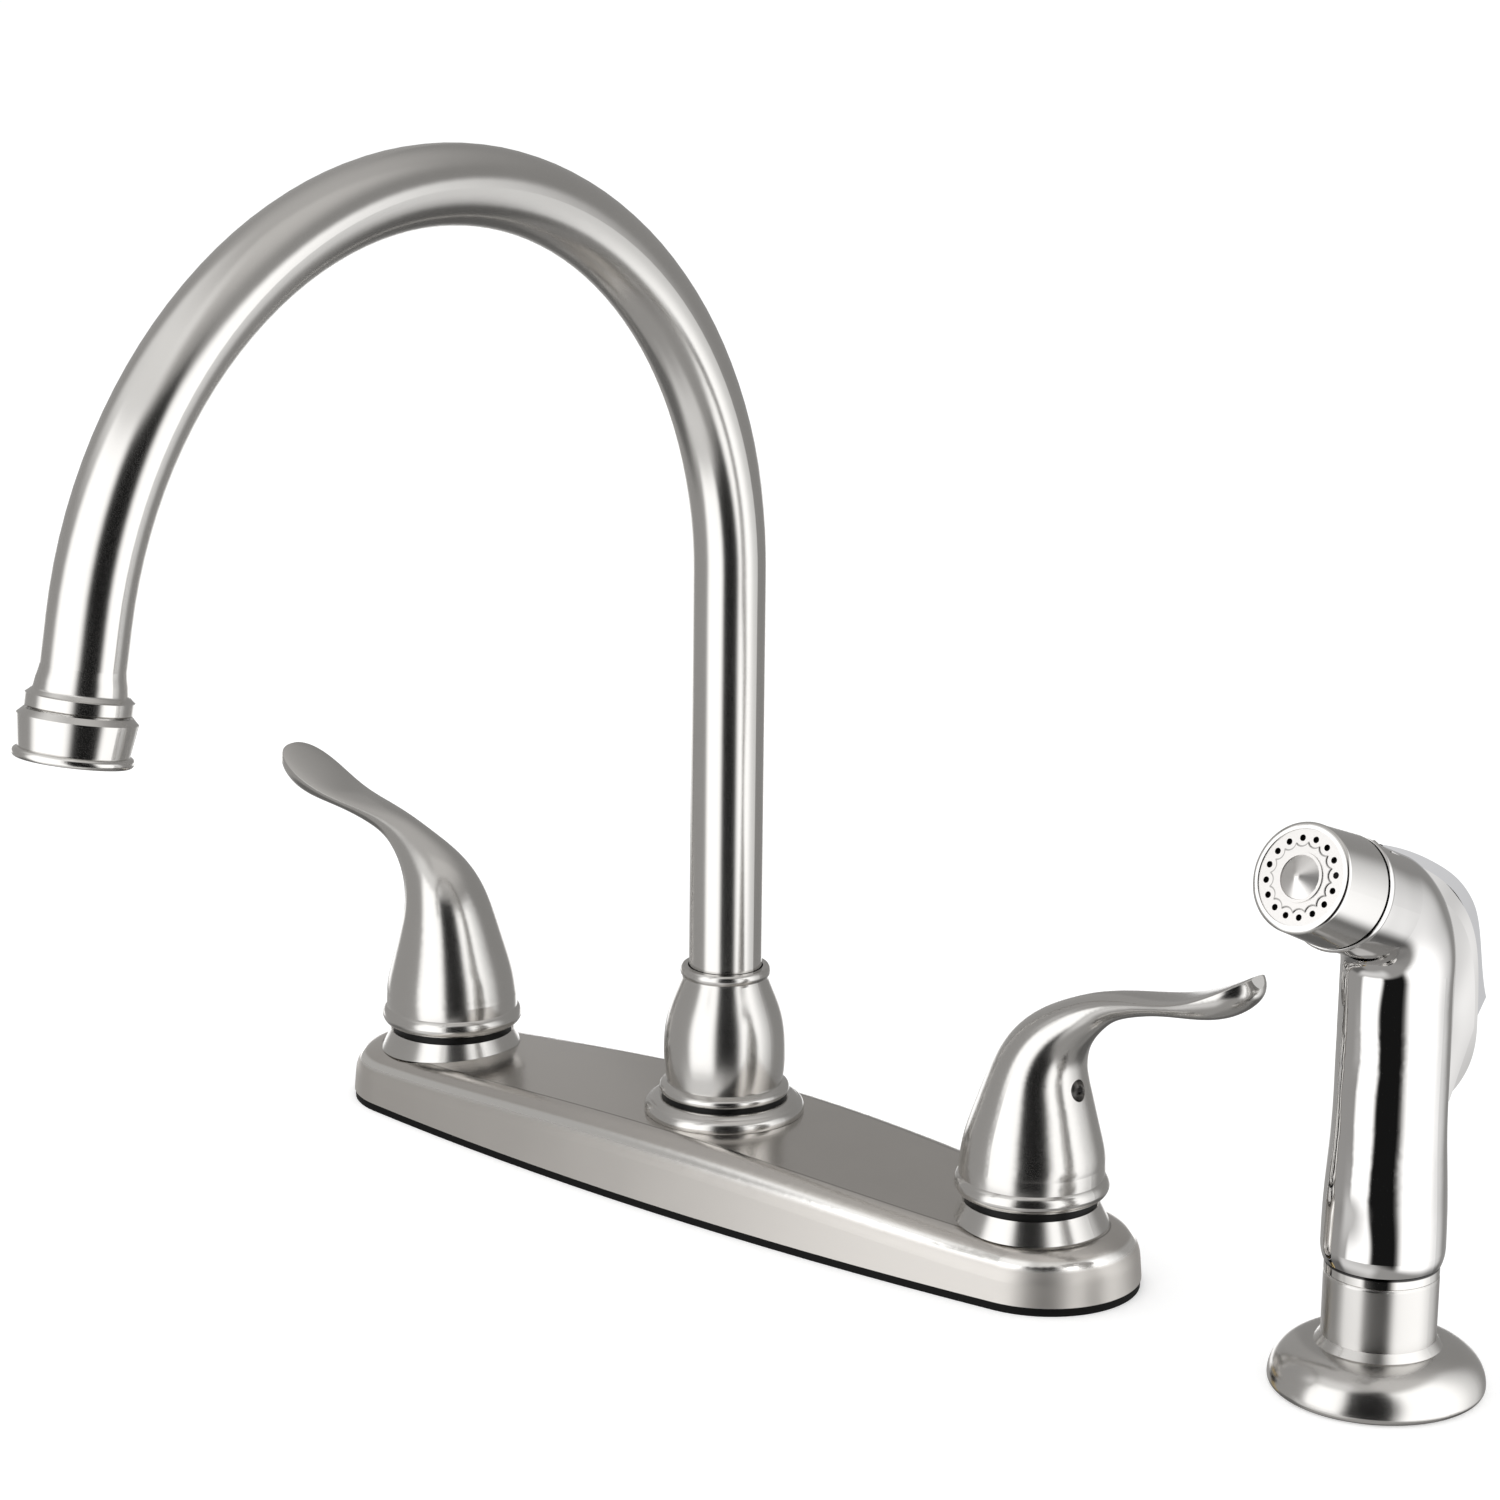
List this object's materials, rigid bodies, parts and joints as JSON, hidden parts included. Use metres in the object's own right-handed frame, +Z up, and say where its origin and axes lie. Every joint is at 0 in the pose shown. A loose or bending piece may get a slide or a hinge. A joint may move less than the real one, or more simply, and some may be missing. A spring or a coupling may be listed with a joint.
{
  "type": "side spray kitchen faucet",
  "caption": "Kitchen faucet with a high-arc swivel spout, lever handles on a crowned deck plate, and a separate side spray in its own holder.",
  "frame": {"origin": "spout axis at the sink deck, on the plane of the gasket's underside", "axes": "+X along the deck plate towards the side spray, +Z up, the spout reaches over the sink along -Y"},
  "size_m": [0.3956, 0.2615, 0.3301],
  "materials": {
    "satin_nickel": "satin brushed nickel",
    "polished_nickel": "polished",
    "satin_face": "pale satin",
    "black_rubber": "matte",
    "black_plastic": "satin",
    "white_plastic": "satin",
    "ceramic": "lapped ceramic",
    "brass": "machined",
    "copper": "drawn copper",
    "steel": "plain"
  },
  "bodies": {
    "faucet_base": {"deck_plate": "satin_nickel", "deck_gasket": "black_rubber", "spout_hub": "brass", "spout_flange": "satin_nickel", "spout_washer": "black_plastic", "bell_nut": "satin_nickel", "hot_valve_body": "brass", "cold_valve_body": "brass", "hot_crossover_tube": "copper", "cold_crossover_tube": "copper", "hot_disc_seal": "black_rubber", "cold_disc_seal": "black_rubber", "hot_fixed_disc": "ceramic", "cold_fixed_disc": "ceramic", "hot_cartridge": "brass", "cold_cartridge": "brass", "hot_bonnet_nut": "brass", "cold_bonnet_nut": "brass", "hot_handle_flange": "satin_nickel", "cold_handle_flange": "satin_nickel", "hot_seal_ring": "black_plastic", "cold_seal_ring": "black_plastic", "lock_washers": "steel", "lock_nuts": "black_plastic", "diverter_seat": "white_plastic", "diverter_spring": "steel", "spray_flange": "satin_nickel", "spray_holder": "satin_nickel", "spray_liner": "black_plastic", "spray_lock_nut": "black_plastic", "spray_washer": "steel"},
    "spout": {"spout_tube": "satin_nickel", "outlet_ring": "satin_nickel", "aerator_housing": "satin_nickel", "aerator_insert": "white_plastic", "aerator_washer": "black_rubber", "swivel_sleeve": "brass", "swivel_o_rings": "black_rubber"},
    "hot_handle": {"hot_lever": "satin_nickel", "hot_set_screw": "steel", "hot_valve_stem": "brass", "hot_rotor_disc": "ceramic"},
    "cold_handle": {"cold_lever": "satin_nickel", "cold_set_screw": "steel", "cold_valve_stem": "brass", "cold_rotor_disc": "ceramic"},
    "diverter": {"diverter_piston": "white_plastic"},
    "spray_head": {"spray_body": "polished_nickel", "nozzle_shell": "satin_nickel", "nozzle_gasket": "black_rubber", "spray_face": "satin_face", "spray_cone": "polished_nickel", "hose_plug": "black_plastic", "trigger_pin": "steel", "trigger_spring": "steel"},
    "spray_trigger": {"trigger": "polished_nickel"},
    "spray_plunger": {"spray_valve": "steel"}
  },
  "joints": [
    {"name": "spout_swivel", "type": "hinge", "parent": "faucet_base", "child": "spout", "pos_m": [0, 0, 0.03], "axis": [0, 0, 1], "continuous": true},
    {"name": "hot_turn", "type": "hinge", "parent": "faucet_base", "child": "hot_handle", "pos_m": [-0.1016, 0, 0.03], "axis": [0, 0, 1], "range_deg": [0, 90]},
    {"name": "cold_turn", "type": "hinge", "parent": "faucet_base", "child": "cold_handle", "pos_m": [0.1016, 0, 0.03], "axis": [0, 0, 1], "range_deg": [-90, 0]},
    {"name": "diverter_drop", "type": "slide", "parent": "faucet_base", "child": "diverter", "axis": [0, 0, 1], "range_m": [-0.0025, 0], "stiffness_N_per_m": 150, "springref_m": 0.001, "deforming": ["diverter_spring"]},
    {"name": "spray_lift", "type": "slide", "parent": "faucet_base", "child": "spray_head", "axis": [0, 0, 1], "range_m": [0, 0.12]},
    {"name": "trigger_press", "type": "hinge", "parent": "spray_head", "child": "spray_trigger", "pos_m": [0.20266, -0.01099, 0.1302], "axis": [0.9988, -0.0489, 0], "range_deg": [-5, 0], "stiffness_Nm_per_rad": 2, "springref_deg": 2.86},
    {"name": "plunger_slide", "type": "slide", "parent": "spray_head", "child": "spray_plunger", "axis": [0.0489, 0.9988, 0], "range_m": [-0.0027, 0], "deforming": ["trigger_spring"]}
  ],
  "couplings": [
    {"joint": "plunger_slide", "follows": "trigger_press", "m_per_rad": 0.0302}
  ]
}
